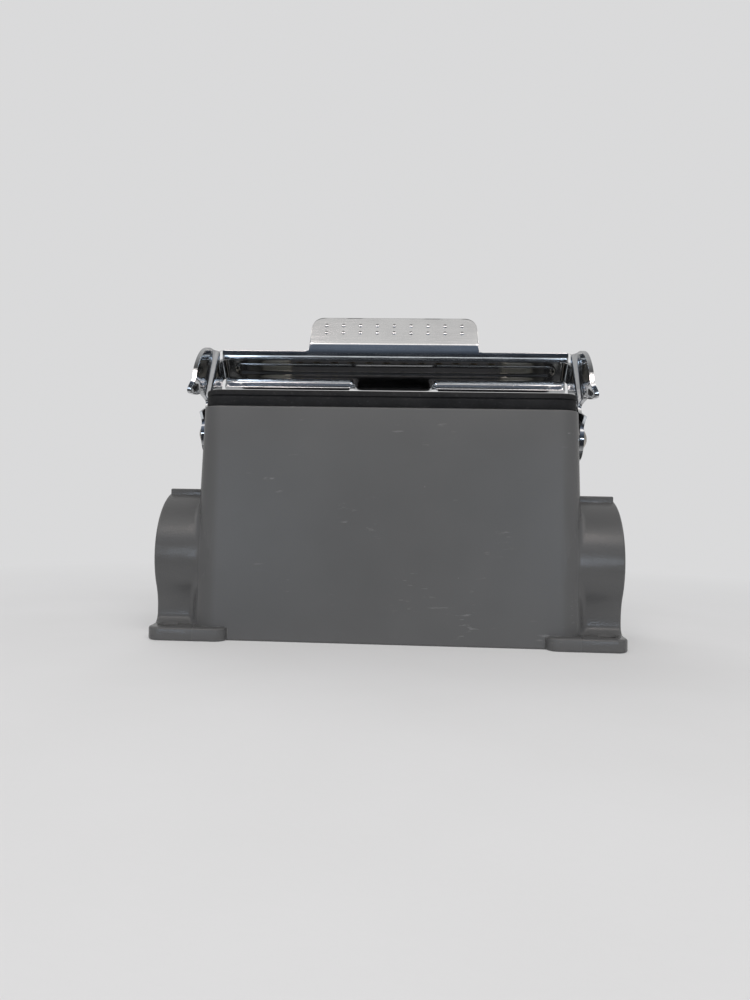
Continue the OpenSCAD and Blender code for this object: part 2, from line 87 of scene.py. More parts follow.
BEAD_W, BEAD_D, BEAD_HALF_L, BEAD_EDGE = 4.6, 0.6, 58.0, 1.1
BEAD_COLUMNS_X = 53.7      # from here on the columns are close, for the bead's round end
DOT_COLUMNS, DOT_ROWS, DOT_PITCH_X, DOT_PITCH_Z = 9, 2, 6.15, 2.9
DOT_R, DOT_H, DOT_FROM_TOP = 0.75, 0.2, 3.2

# Leg: its rounded end, and the hook with its round back, its tip and the peg's slot
LEG_END_R, LEG_NECK = 7.5, (-6.9, 5.0)
HOOK_BACK, HOOK_BACK_R, HOOK_BACK_END = (6.5, 9.2), 22.0, 1.5
HOOK_FRONT, HOOK_FRONT_R, HOOK_FRONT_RISE = -13.8, 2.2, 6
HOOK_TIP_Z, HOOK_TIP_R = 12.4, 1.2
PEG_R, SLOT_W, SEAT_R, SEAT_A = 12.6, 5.4, 2.95, 116.0
SEAT_OUTER_A, SEAT_INNER_A = 4.9, 6.1                  # degrees from the seat to its edges
SLOT_MOUTH_A, SLOT_OUTER_A, SLOT_INNER_A = 125.9, 124.6, 130.5
STEP_LEAN, STEP_AT, STEP_RUN = math.radians(31), -7.2, 2.8
FLARE, FLARE_Z, FLARE_RUN_Z, FLARE_Y, FLARE_RUN_Y = 1.5, 17.4, 4.6, -8, 2.5

# Steps of the lever's mesh, and how its cut edges are softened
ROW_MIN, ROW_MAX, LEG_GRID, LEG_RING, LEG_RING_CLEAR = 0.22, 0.5, 0.75, 0.35, 0.3
EDGE_SOFT, EDGE_STRAY = 0.18, 0.12
FACE_PLACE = Vector((0, 0.0152, 0.0922))               # on the bar's face, in metres

# Looks shared by several materials and by the background
BACKGROUND = (0.70, 0.70, 0.705, 1)
DUST = (0.3, 0.3, 0.29, 1)
ROUGH_CAST_X = (0.0592, 0.0615)   # metres from the middle, where the housing turns rough

# What reflections meet in front of the object, by the height of their direction from -1 to 1
FRONT_ROOM = [
    (-1.0, (0.008, 0.009, 0.010)), (-0.18, (0.008, 0.009, 0.010)),
    (-0.13, (0.55, 0.58, 0.60)), (0.06, (0.60, 0.62, 0.64)),
    (0.10, (0.010, 0.011, 0.013)), (0.20, (0.010, 0.012, 0.015)),
    (0.36, (0.06, 0.075, 0.10)), (0.50, (0.16, 0.18, 0.22)),
    (0.57, (0.9, 0.86, 0.84)), (0.66, (0.95, 0.90, 0.88)),
    (0.70, (0.43, 0.42, 0.41)), (0.82, (0.39, 0.38, 0.37)),
    (0.90, (0.06, 0.06, 0.06)), (1.0, (0.09, 0.09, 0.09)),
]

# The photograph's viewpoint, as fitted: place and lens in millimetres, turns in radians
CAMERA_PLACE = (8.649, -262.272, 42.066)
CAMERA_TURNS = (("Z", -0.052), ("Y", 0.019), ("X", -0.014))
CAMERA_SENSOR, CAMERA_LENS = 36.0, 27.467


# ---- Points and profiles ----

def arc(cx, cy, r, a0, a1, steps):
    """Points on an arc, from angle a0 to a1 in degrees, both ends included."""
    angles = [math.radians(a0 + (a1 - a0) * k / steps) for k in range(steps + 1)]
    return [(cx + r * math.cos(a), cy + r * math.sin(a)) for a in angles]


def smoothstep(t):
    """An even, soft rise from 0 to 1 as t goes from 0 to 1."""
    t = min(max(t, 0.0), 1.0)
    return t * t * (3 - 2 * t)


def rect_ring(l, w, r, z, steps=10):
    """A rounded rectangle at height z, anticlockwise."""
    corners = [(1, 1, 0), (-1, 1, 90), (-1, -1, 180), (1, -1, 270)]
    ring = []
    for sx, sy, a in corners:
        centre = (sx * (l / 2 - r), sy * (w / 2 - r))
        ring += [(x, y, z) for x, y in arc(*centre, r, a, a + 90, steps)]
    return ring


def circle_ring(x, r, z, segments):
    """A circle in the end view, at a place along X and a height z."""
    return [(x, y, z + h) for y, h in arc(0, 0, r, 0, 360 - 360 / segments, segments - 1)]


def rounded_path(corners, radii, steps=7):
    """A polyline in the plane whose inner corners are rounded."""
    path = [corners[0]]
    for before, at, after, r in zip(corners, corners[1:], corners[2:], radii):
        a, b, c = Vector(before), Vector(at), Vector(after)
        u, v = (a - b).normalized(), (c - b).normalized()
        half = u.angle(v) / 2
        reach = r / math.tan(half)
        centre = b + (u + v).normalized() * (r / math.sin(half))
        start, end = b + u * reach, b + v * reach
        for k in range(steps + 1):
            way = (start - centre).lerp(end - centre, k / steps).normalized()
            path.append(tuple(centre + way * r))
    return path + [corners[-1]]


def even_outline(points, shortest=0.3, longest=0.9):
    """A path's points, none too close together and none too far apart."""
    out = [points[0]]
    for at in points[1:]:
        gap = (Vector(at) - Vector(out[-1])).length
        if gap < shortest:
            continue
        n = math.ceil(gap / longest)
        out += [tuple(Vector(out[-1]).lerp(Vector(at), k / n)) for k in range(1, n)] + [at]
    return out


# ---- Meshes ----

def shade(piece, angle=35):
    """Smooth shading with edges kept sharp above an angle."""
    piece.data.polygons.foreach_set("use_smooth", [True] * len(piece.data.polygons))
    piece.data.set_sharp_from_angle(angle=math.radians(angle))


def mesh_piece(name, points, faces):
    """A linked mesh object from points in millimetres."""
    mesh = bpy.data.meshes.new(name)
    mesh.from_pydata([tuple(c * MM for c in p) for p in points], [], faces)
    mesh.update()
    piece = bpy.data.objects.new(name, mesh)
    bpy.context.scene.collection.objects.link(piece)
    return piece


def loft(name, rings, closed=False):
    """A solid through rings of as many points each; closed joins the last ring to the first."""
    n = len(rings[0])
    points = [p for ring in rings for p in ring]
    spans = [(k, k + 1) for k in range(len(rings) - 1)]
    if closed:
        spans.append((len(rings) - 1, 0))
    faces = [(a * n + i, a * n + (i + 1) % n, b * n + (i + 1) % n, b * n + i)
             for a, b in spans for i in range(n)]
    if not closed:
        faces.append(tuple(reversed(range(n))))
        faces.append(tuple(range(len(points) - n, len(points))))
    piece = mesh_piece(name, points, faces)
    outward(piece)
    return piece


def outward(piece):
    """Turns all faces of a closed mesh outwards."""
    bm = bmesh.new()
    bm.from_mesh(piece.data)
    bmesh.ops.recalc_face_normals(bm, faces=bm.faces)
    bm.to_mesh(piece.data)
    bm.free()


def prism(name, outline, x0, x1, round_r):
    """Extrudes an outline in Y and Z along X, with its outer end's edges rounded."""
    n = len(outline)
    points = [(x0, y, z) for y, z in outline] + [(x1, y, z) for y, z in outline]
    faces = [(i, (i + 1) % n, n + (i + 1) % n, n + i) for i in range(n)]
    faces += [tuple(reversed(range(n))), tuple(range(n, 2 * n))]
    piece = mesh_piece(name, points, faces)
    bm = bmesh.new()
    bm.from_mesh(piece.data)
    bmesh.ops.recalc_face_normals(bm, faces=bm.faces)
    outer = [e for e in bm.edges if all(abs(v.co.x - x1 * MM) < 1e-7 for v in e.verts)]
    bmesh.ops.bevel(bm, geom=outer, offset=round_r * MM, segments=3, profile=0.5, affect="EDGES")
    bm.to_mesh(piece.data)
    bm.free()
    return piece


def combine(base, pieces, operation):
    """Adds the pieces to base or cuts them from it, and deletes them."""
    group = bpy.data.collections.new(operation)
    bpy.context.scene.collection.children.link(group)
    for piece in pieces:
        group.objects.link(piece)
    modifier = base.modifiers.new(operation, "BOOLEAN")
    modifier.operation = operation
    modifier.solver = "EXACT"
    modifier.operand_type = "COLLECTION"
    modifier.collection = group
    apply_modifiers(base)
    for piece in pieces:
        bpy.data.objects.remove(piece)
    bpy.data.collections.remove(group)


def apply_modifiers(piece):
    """Makes what the modifiers give into the piece's own mesh."""
    bpy.context.view_layer.update()
    shaped = piece.evaluated_get(bpy.context.evaluated_depsgraph_get())
    mesh = bpy.data.meshes.new_from_object(shaped)
    piece.modifiers.clear()
    piece.data = mesh


def mirrored(points, side):
    """Points given for the right side, on either side."""
    return [(side * x, y, z) for x, y, z in points]


# ---- Housing ----

def wall_step(z):
    """How far the drafted wall stands out beyond the rim's outline at height z."""
    return OUT_STEP * (1 - z / RIM_Z)


def wall_ring(inset, z):
    """A ring of the outer wall, inset from its drafted face."""
    step = wall_step(z) - inset
    return rect_ring(RIM_L + 2 * step, RIM_W + 2 * step, RIM_R + step, z)


def core_ring(inset, z):
    """A ring of the inner wall, inset further into the chamber."""
    depth = (RIM_Z + UPSTAND_H - z) / (RIM_Z + UPSTAND_H - FLOOR_T)
    step = WALL + CORE_STEP * depth + inset
    corner_r = RIM_R - step if RIM_R > step + 1 else 1
    return rect_ring(RIM_L - 2 * step, RIM_W - 2 * step, corner_r, z)


def end_wall_x(y, z):
    """Where the end wall's outer face lies at a point of the end view."""
    r = RIM_R + wall_step(z)
    over = max(abs(y) - (RIM_W / 2 - RIM_R), 0)
    return RIM_L / 2 - RIM_R + math.sqrt(max(r * r - over * over, 0.1))


def shell():
    """The cast box with its rim and the seal's upstand, its edges rounded."""
    foot_r, rim_r, floor_r, lip_r = 0.6, 0.55, 2.0, 0.3
    rings = [wall_ring(foot_r - x, z) for x, z in arc(0, foot_r, foot_r, -90, 0, 4)]
    rings += [wall_ring(0, z) for z in (20, 40, 60)]
    rings += [wall_ring(rim_r - x, RIM_Z - rim_r + z) for x, z in arc(0, 0, rim_r, 0, 90, 4)]
    outer, top = WALL - UPSTAND_T, RIM_Z + UPSTAND_H
    rings += [wall_ring(outer, RIM_Z)]
    rings += [wall_ring(outer + wall_step(top) + lip_r - x, z)
              for x, z in arc(0, top - lip_r, lip_r, 0, 90, 3)]
    rings += [core_ring(-lip_r - x, z) for x, z in arc(0, top - lip_r, lip_r, 90, 180, 3)]
    rings += [core_ring(0, z) for z in (60, 40, 20)]
    rings += [core_ring(floor_r - x, FLOOR_T + floor_r + z)
              for x, z in arc(0, 0, floor_r, 0, -90, 5)]
    return loft("housing_cast", rings)


def end_outline():
    """End view of a boss on its pedestal: circle, soft blend, upright side and foot fillet."""
    half, r, blend = PEDESTAL_W / 2, PEDESTAL_FILLET, 15.0
    drop = math.sqrt((BOSS_R + blend) ** 2 - (half + blend) ** 2)
    turn = math.degrees(math.atan2(drop, half + blend))
    side = arc(half + r, FOOT_T + r, r, -90, -180, 6)
    side += arc(half + blend, BOSS_Z - drop, blend, 180, 180 - turn, 10)
    side += arc(0, BOSS_Z, BOSS_R, -turn, 90, 44)[1:]
    other = [(-y, z) for y, z in reversed(side[:-1])]
    return [(half + r, BOSS_LOW)] + side + other + [(-half - r, BOSS_LOW)]


def swollen(outline, by):
    """An anticlockwise outline moved outwards along its own normals."""
    out = []
    for before, at, after in zip(outline[-1:] + outline[:-1], outline, outline[1:] + outline[:1]):
        along = (Vector(after) - Vector(before)).normalized()
        out.append((at[0] + by * along.y, at[1] - by * along.x))
    return out


def boss(side):
    """The cable entry boss on its pedestal, with a cast fillet where it leaves the end wall."""
    fillet, edge = 1.8, 0.8
    outline = end_outline()
    sunk = 1.5
    rings = [[(end_wall_x(y, z) - sunk, y, z) for y, z in swollen(outline, fillet)]]
    for inset, off in arc(0, fillet, fillet, -90, 0, 6):
        ring = swollen(outline, fillet - inset)
        rings.append([(end_wall_x(y, z) + off, y, z) for y, z in ring])
    for off, inset in arc(-edge, -edge, edge, 90, 0, 4):
        rings.append([(BOSS_X + off, y, z) for y, z in swollen(outline, inset)])
    return loft("boss", [mirrored(ring, side) for ring in rings])


def crown(side):
    """The flat rib along the top of the boss."""
    top, half, r = BOSS_Z + BOSS_R + CROWN_H, CROWN_W / 2, 0.45
    low = BOSS_Z + 12
    outline = [(half, low)] + arc(half - r, top - r, r, 0, 90, 3)
    outline += arc(r - half, top - r, r, 90, 180, 3) + [(-half, low)]
    return prism("crown", outline, side * BOSS_ROOT_X, side * (BOSS_X - 0.6), 0.4)


def foot(side):
    """A mounting foot, its outer face just inside the boss's end."""
    edge, behind = 0.7, 0.03
    profile = [(edge - x, z) for x, z in arc(0, edge, edge, -90, 0, 4)]
    profile += [(edge - x, FOOT_T - edge + z) for x, z in arc(0, 0, edge, 0, 90, 4)]
    rings = []
    for inset, z in profile:
        ring = rect_ring(FOOT_L - 2 * inset, FOOT_W - 2 * inset, FOOT_R - inset, z)
        rings.append([(side * (BOSS_X - behind - FOOT_L / 2) + x, y, z) for x, y, z in ring])
    return loft("foot", rings)


def pivot_pad(side):
    """The round pad on the end wall that carries the lever's rivet."""
    fillet, edge = 0.7, 0.25
    profile = [(PAD_R + fillet, -1)]
    profile += [(PAD_R + fillet - x, z) for x, z in arc(0, fillet, fillet, -90, 0, 3)]
    rings = []
    for r, off in profile:
        ring = circle_ring(0, r, PIVOT_Z, 64)
        rings.append([(end_wall_x(y, z) + min(off, 0.6), y, z) for _, y, z in ring])
    for x, r in arc(PAD_X - edge, PAD_R - edge, edge, 90, 0, 2):
        rings.append(circle_ring(x, r, PIVOT_Z, 64))
    return loft("pad", [mirrored(ring, side) for ring in rings])


def insert_posts():
    """Four posts with webs to both walls of their corners."""
    pieces = []
    for sx in SIDES:
        for sy in SIDES:
            x, y = sx * POST_X, sy * POST_Y
            profile = [(POST_R, POST_LOW), (POST_R, POST_Z - 0.3), (POST_R - 0.3, POST_Z)]
            rings = [[(x + a, y + b, z) for a, b in arc(0, 0, r, 0, 352.5, 47)]
                     for r, z in profile]
            pieces.append(loft("post", rings))
            half = POST_R / 2
            for x0, x1, y0, y1 in ((x, x + sx * WEB_REACH, y - half, y + half),
                                   (x - half, x + half, y, y + sy * WEB_REACH)):
                ring = [(x0, y0), (x1, y0), (x1, y1), (x0, y1)]
                pieces.append(loft("web", [[(a, b, z) for a, b in ring]
                                           for z in (POST_LOW, POST_Z)]))
    return pieces


def entry_cutter(side):
    """The entry: a chamfered mouth, round grooves for the thread, the plain bore behind."""
    inner_x, mouth = BOSS_X - ENTRY_DEPTH, ENTRY_R + THREAD_DEPTH + 0.3
    profile = [(BOSS_X + 1, mouth + 1), (BOSS_X, mouth), (BOSS_X - 1.1, ENTRY_R)]
    x = BOSS_X - 1.3
    while x - THREAD_PITCH > inner_x:
        profile += [(x - back, ENTRY_R + deep) for back, deep in THREAD_FORM]
        x -= THREAD_PITCH
    profile += [(inner_x, ENTRY_R), (inner_x - 0.9, ENTRY_BACK_R)]
    profile += [(BOSS_ROOT_X - 5, ENTRY_BACK_R)]
    return loft("entry", [mirrored(circle_ring(x, r, BOSS_Z, 96), side) for x, r in profile])


def hole_cutters():
    """The mounting holes, their edges slightly broken."""
    profile = [(HOLE_R + 0.9, -0.5), (HOLE_R, 0.4)]
    profile += [(HOLE_R, FOOT_T - 0.4), (HOLE_R + 0.9, FOOT_T + 0.5)]
    pieces = []
    for sx in SIDES:
        for sy in SIDES:
            rings = [[(sx * HOLE_X + a, sy * HOLE_Y + b, z)
                      for a, b in arc(0, 0, r, 0, 350, 35)] for r, z in profile]
            pieces.append(loft("hole", rings))
    return pieces


def housing():
    """The whole casting: the shell and what stands on it, then its entries and holes."""
    cast = shell()
    added = insert_posts()
    for side in SIDES:
        added += [boss(side), crown(side), foot(side), pivot_pad(side)]
    combine(cast, added, "UNION")
    combine(cast, [entry_cutter(side) for side in SIDES] + hole_cutters(), "DIFFERENCE")
    shade(cast, 32)
    return cast


# ---- Seal ----

def rim_gasket():
    """The rubber seal: a rounded band with a parting groove, stepped over the upstand."""
    low, top, groove = RIM_Z, RIM_Z + SEAL_H, RIM_Z + 0.6 * SEAL_H
    inner, step = WALL - 0.02, WALL - UPSTAND_T
    edge, deep = 0.8, SEAL_INSET + SEAL_GROOVE
    profile = [(SEAL_INSET + 0.12, low), (SEAL_INSET, low + 0.15), (SEAL_INSET, groove - 0.1)]
    profile += [(deep, groove + 0.08), (deep, groove + 0.22), (SEAL_INSET, groove + 0.4)]
    profile += [(SEAL_INSET + edge - x, z) for x, z in arc(0, top - edge, edge, 0, 90, 5)]
    profile += [(inner - 0.4, top), (inner, top - 0.4), (inner, low + UPSTAND_H)]
    profile += [(step, low + UPSTAND_H), (step, low)]
    rings = [rect_ring(RIM_L - 2 * e, RIM_W - 2 * e, RIM_R - e, z, 12) for e, z in profile]
    gasket = loft("rim_gasket", rings, closed=True)
    shade(gasket, 40)
    return gasket


# ---- Lever ----

def bead_height(x, along):
    """Height of the pressed bead at a point of the bar's face."""
    over = max(abs(x) - (BEAD_HALF_L - BEAD_W / 2), 0)
    distance = math.hypot(over, along)
    return BEAD_D * smoothstep((BEAD_W / 2 - distance) / BEAD_EDGE)


class Bar:
    """Section of the lever's bar: one path for the lip, the face, the flange and the tab."""

    def __init__(self):
        self.path = even_outline(rounded_path(SECTION, SECTION_RADII), ROW_MIN, ROW_MAX)
        self.down = (Vector(KNEE) - Vector(FOLD)).normalized()
        self.inward = Vector((self.down.y, -self.down.x))
        self.middle = (Vector(KNEE) + Vector(FOLD)) / 2
        self.knee_row = self.nearest(KNEE)
        self.fold_row = self.nearest(FOLD)
        self.flange_row = self.nearest((FLANGE_MID[0], FLANGE_Z))
        foot, rows = Vector(KNEE) + self.down * TONGUE_L, self.knee_row + TONGUE_END_ROWS
        self.tongue = [tuple(foot.lerp(Vector(self.path[rows]), k / rows)) for k in range(rows)]

    def nearest(self, point):
        """The row whose point lies nearest."""
        return min(range(len(self.path)),
                   key=lambda k: (Vector(self.path[k]) - Vector(point)).length)

    def point(self, x, row):
        """A point of the inner surface, in Y and Z: tongue or lip, face with its bead, tab."""
        y, z = self.path[row]
        if row < len(self.tongue):
            share = smoothstep((abs(x) - TONGUE_W / 2) / LIP_RUN)
            y, z = Vector(self.tongue[row]).lerp(Vector((y, z)), share)
        if self.knee_row <= row <= self.fold_row:
            along = (Vector((y, z)) - self.middle).dot(self.down)
            lift = self.inward * -bead_height(x, along)
            y, z = y + lift.x, z + lift.y
        if row > self.flange_row:
            y, z = self.squeezed(x, row)
        return y, z

    def squeezed(self, x, row):
        """A row above the flange, moved along the path so that the last row follows the tab."""
        base, last = self.flange_row, len(self.path) - 1
        share = (row - base) / (last - base)
        full = self.path[last][1] - self.path[base][1]
        reach = (tab_limit(x, self.path[base][1]) - self.path[base][1]) / full
        place = base + share * reach * (last - base)
        k = min(int(place), last - 1)
        return tuple(Vector(self.path[k]).lerp(Vector(self.path[k + 1]), place - k))


def tab_limit(x, root_z):
    """How high the sheet above the flange reaches at a place along X."""
    x = abs(x)
    if x > TAB_W / 2 + TAB_FILLET - 0.01:
        return root_z
    if x > TAB_W / 2 + 0.01:
        t = (x - TAB_W / 2) / TAB_FILLET
        return root_z + TAB_FILLET * (1 - math.sqrt(max(1 - (1 - t) ** 2, 0)))
    corner = TAB_W / 2 - TAB_R
    if x > corner:
        round_z = TAB_R - math.sqrt(max(TAB_R ** 2 - (x - corner) ** 2, 0))
        return TAB_TOP[1] - round_z * 0.95
    return TAB_TOP[1]


def bar_columns():
    """Places along X where the bar has a column of points."""
    corner = TAB_W / 2 - TAB_R
    stops = {0.0, BAR_END_X, TAB_W / 2} | {TONGUE_W / 2 + 0.5 * k for k in range(9)}
    stops |= {TAB_W / 2 + TAB_FILLET * k / 3 for k in range(4)}
    stops |= {corner + TAB_R * math.sin(math.radians(12.86 * k)) for k in range(6)}
    stops |= {BEAD_COLUMNS_X + 0.5 * k for k in range(13)}
    for x in (2.0 * k for k in range(27)):
        if min(abs(x - stop) for stop in stops) > 0.4:
            stops.add(x)
    half = sorted(round(x, 4) for x in stops)
    return [-x for x in reversed(half) if x > 0] + half


def bar_surface(bm, bar):
    """The bar between its bends, as a grid of points by column and row."""
    columns, made = bar_columns(), {}
    for i, x in enumerate(columns):
        for row in range(len(bar.path)):
            y, z = bar.point(x, row)
            made[i, row] = bm.verts.new((x * MM, y * MM, (z + PIVOT_Z) * MM))
    for i in range(len(columns) - 1):
        on_tab = abs(columns[i] + columns[i + 1]) / 2 < TAB_W / 2 + TAB_FILLET
        top = len(bar.path) - 1 if on_tab else bar.flange_row
        for row in range(top):
            bm.faces.new([made[i, row], made[i + 1, row],
                          made[i + 1, row + 1], made[i, row + 1]])
    bmesh.ops.delete(bm, geom=[v for v in bm.verts if not v.link_faces], context="VERTS")
    return made, len(columns) - 1


def end_column(last, side):
    """The column where the bar ends on a side."""
    return last if side > 0 else 0


def strip(bm, before, column, side):
    """Faces between two columns of points, and the second column."""
    for k in range(len(column) - 1):
        quad = [before[k], column[k], column[k + 1], before[k + 1]]
        bm.faces.new(quad if side > 0 else reversed(quad))
    return column


def bend_surface(bm, bar, made, last, side):
    """The round bend from the face into a leg. Returns its last points, and their Y and Z."""
    steps = 8
    rows = range(bar.knee_row, bar.fold_row + 1)
    before = [made[end_column(last, side), row] for row in rows]
    offsets = [(BAR_END_X + BEND_R * math.sin(a), BEND_R * (1 - math.cos(a)))
               for a in (math.radians(90 * k / steps) for k in range(1, steps + 1))]
    offsets.append((LEG_X, BEND_R + BEND_RUN))
    for x, depth in offsets:
        shift = bar.inward * depth
        edge = [(bar.path[row][0] + shift.x, bar.path[row][1] + shift.y) for row in rows]
        column = [bm.verts.new((side * x * MM, y * MM, (z + PIVOT_Z) * MM)) for y, z in edge]
        before = strip(bm, before, column, side)
    return before, edge


def end_flaps(bm, bar, made, last, side):
    """The lip and the flange, which run on past the bend to the leg."""
    for rows in (range(bar.knee_row + 1), range(bar.fold_row, bar.flange_row + 1)):
        before = [made[end_column(last, side), row] for row in rows]
        for x in FLAP_X:
            column = [bm.verts.new((side * x * MM, v.co.y, v.co.z)) for v in before]
            before = strip(bm, before, column, side)


def around_pivot(r, angle):
    """The point at a radius and an angle in degrees from the pivot."""
    return r * math.cos(math.radians(angle)), r * math.sin(math.radians(angle))


def heading(start, end):
    """The direction from one point to another, in degrees."""
    return math.degrees(math.atan2(end[1] - start[1], end[0] - start[0]))


def seat_path(outer_r, inner_r):
    """The slot's round end, where the peg sits, between the slot's outer and inner edge."""
    seat = around_pivot(PEG_R, SEAT_A)
    a0 = heading(seat, around_pivot(outer_r, SEAT_A + SEAT_OUTER_A))
    a1 = heading(seat, around_pivot(inner_r, SEAT_A + SEAT_INNER_A))
    while a1 > a0:
        a1 -= 360
    return arc(*seat, SEAT_R, a0, a1, 14)[1:-1]


def leg_path(edge):
    """The leg's outline in Y and Z, from the end of the bend's edge round to its start."""
    cy, cz = HOOK_BACK
    outer_r, inner_r = PEG_R + SLOT_W / 2, PEG_R - SLOT_W / 2
    a_top = math.degrees(math.acos((edge[-1][0] - cy) / HOOK_BACK_R))
    a_front = math.degrees(math.acos((HOOK_FRONT + HOOK_BACK_END - cy) / HOOK_BACK_R))
    path = arc(cy, cz, HOOK_BACK_R, a_top, a_front, 26)
    path += arc(HOOK_FRONT + HOOK_FRONT_R, cz + HOOK_FRONT_RISE, HOOK_FRONT_R, 160, 180, 3)
    path += arc(HOOK_FRONT + HOOK_TIP_R, HOOK_TIP_Z + HOOK_TIP_R, HOOK_TIP_R, 180, 270, 5)
    path += [(around_pivot(outer_r, SLOT_MOUTH_A)[0] - 0.3, HOOK_TIP_Z)]
    path += arc(0, 0, outer_r, SLOT_OUTER_A, SEAT_A + SEAT_OUTER_A, 4)
    path += seat_path(outer_r, inner_r)
    path += arc(0, 0, inner_r, SEAT_A + SEAT_INNER_A, SLOT_INNER_A, 4)
    return path + [LEG_NECK] + arc(0, 0, LEG_END_R, 180, 360, 24)


def within(point, outline, clear):
    """Whether a point lies inside an outline, and clear of its points."""
    inside, (y, z) = False, point
    for (ya, za), (yb, zb) in zip(outline, outline[1:] + outline[:1]):
        if math.hypot(ya - y, za - z) < clear:
            return False
        if (za > z) != (zb > z) and y < ya + (z - za) * (yb - ya) / (zb - za):
            inside = not inside
    return inside


def winding(outline):
    """1 for an anticlockwise outline, -1 for a clockwise one."""
    area = sum(a[0] * b[1] - b[0] * a[1] for a, b in zip(outline, outline[1:] + outline[:1]))
    return 1 if area > 0 else -1


def leg_x(y, z):
    """How far out the leg stands: stepped across a slanted line, flared at the hook's tip."""
    across = STEP_AT - y * math.cos(STEP_LEAN) + z * math.sin(STEP_LEAN)
    flare = smoothstep((FLARE_Z - z) / FLARE_RUN_Z) * smoothstep((FLARE_Y - y) / FLARE_RUN_Y)
    return LEG_X + JOGGLE * smoothstep(across / STEP_RUN) + FLARE * flare


def leg_surface(bm, edge_verts, edge, side):
    """One leg with its hook, from its outline, a ring just inside it and a grid of points."""
    outline = edge + even_outline([edge[-1]] + leg_path(edge) + [edge[0]])[1:-1]
    c, d = LEG_GRID * math.cos(STEP_LEAN), LEG_GRID * math.sin(STEP_LEAN)
    grid = [(u * c + w * d, w * c - u * d) for u in range(-40, 34) for w in range(-20, 52)]
    ring = swollen(outline, -LEG_RING * winding(outline))
    points = outline + [at for at in ring if within(at, outline, LEG_RING_CLEAR)]
    points += [at for at in grid if within(at, outline, LEG_GRID)]
    whole = [list(range(len(outline)))]
    found = delaunay_2d_cdt([Vector(at) for at in points], [], whole, 1, 1e-5)
    verts = []
    for at, origin in zip(found[0], found[3]):
        first = min(origin) if origin else len(outline)
        if first < len(edge):
            verts.append(edge_verts[first])
        else:
            place = (side * leg_x(*at) * MM, at.x * MM, (at.y + PIVOT_Z) * MM)
            verts.append(bm.verts.new(place))
    for face in found[2]:
        bm.faces.new([verts[k] for k in face])


def grip_dots(bm):
    """Rows of small raised dots on the tab's front."""
    root, top = Vector(TAB_ROOT), Vector(TAB_TOP)
    up = (top - root).normalized()
    turn = Matrix.Rotation(-math.atan2(up.x, up.y), 4, "X")
    squash = Matrix.Diagonal((DOT_R * MM, DOT_H * MM, DOT_R * MM, 1))
    for i in range(DOT_COLUMNS):
        for j in range(DOT_ROWS):
            at = top - up * (DOT_FROM_TOP + j * DOT_PITCH_Z)
            x = (i - (DOT_COLUMNS - 1) / 2) * DOT_PITCH_X
            place = Matrix.Translation(Vector((x, at.x, at.y + PIVOT_Z)) * MM)
            bmesh.ops.create_uvsphere(bm, u_segments=16, v_segments=10, radius=1,
                                      matrix=place @ turn @ squash)


def bent_sheet(bar):
    """The lever's inner surface, with its faces turned outwards."""
    bm = bmesh.new()
    made, last = bar_surface(bm, bar)
    for side in SIDES:
        edge_verts, edge = bend_surface(bm, bar, made, last, side)
        leg_surface(bm, edge_verts, edge, side)
        end_flaps(bm, bar, made, last, side)
    bmesh.ops.remove_doubles(bm, verts=bm.verts, dist=1e-6)
    bmesh.ops.recalc_face_normals(bm, faces=bm.faces)
    face = min(bm.faces, key=lambda f: (f.calc_center_median() - FACE_PLACE).length)
    if face.normal.y < 0:
        bmesh.ops.reverse_faces(bm, faces=bm.faces)
    sheet = mesh_piece("lever_sheet", [], [])
    bm.to_mesh(sheet.data)
    bm.free()
    return sheet


def soften_edges(sheet):
    """Bevels the cut edges, and brings back points that the bevel throws off the solid."""
    body = BVHTree.FromPolygons([v.co.copy() for v in sheet.data.vertices],
                                [tuple(face.vertices) for face in sheet.data.polygons])
    soft = sheet.modifiers.new("edges", "BEVEL")
    soft.width, soft.segments, soft.limit_method = EDGE_SOFT * MM, 2, "ANGLE"
    soft.angle_limit, soft.use_clamp_overlap, soft.loop_slide = math.radians(60), False, False
    soft.face_strength_mode = "FSTR_ALL"
    apply_modifiers(sheet)
    for v in sheet.data.vertices:
        nearest, _, _, distance = body.find_nearest(v.co)
        if distance > EDGE_STRAY * MM:
            v.co = nearest


def lever():
    """The whole lever: a bent surface, thickened outwards, softened, with its dots."""
    sheet = bent_sheet(Bar())
    solid = sheet.modifiers.new("thickness", "SOLIDIFY")
    solid.thickness, solid.offset = SHEET_T * MM, 1.0
    apply_modifiers(sheet)
    soften_edges(sheet)
    bm = bmesh.new()
    bm.from_mesh(sheet.data)
    grip_dots(bm)
    bm.to_mesh(sheet.data)
    bm.free()
    shade(sheet, 40)
    even = sheet.modifiers.new("normals", "WEIGHTED_NORMAL")
    even.keep_sharp, even.weight, even.use_face_influence = True, 100, True
    apply_modifiers(sheet)
    return sheet


# ---- Materials ----

def feed(tree, node, inputs):
    """Links or sets a node's inputs."""
    for key, value in inputs.items():
        if isinstance(value, bpy.types.NodeSocket):
            tree.links.new(value, node.inputs[key])
        else:
            node.inputs[key].default_value = value


def add_node(tree, kind, inputs=None, **settings):
    """A new node with its settings and inputs."""
    node = tree.nodes.new(kind)
    for key, value in settings.items():
        setattr(node, key, value)
    feed(tree, node, inputs or {})
    return node


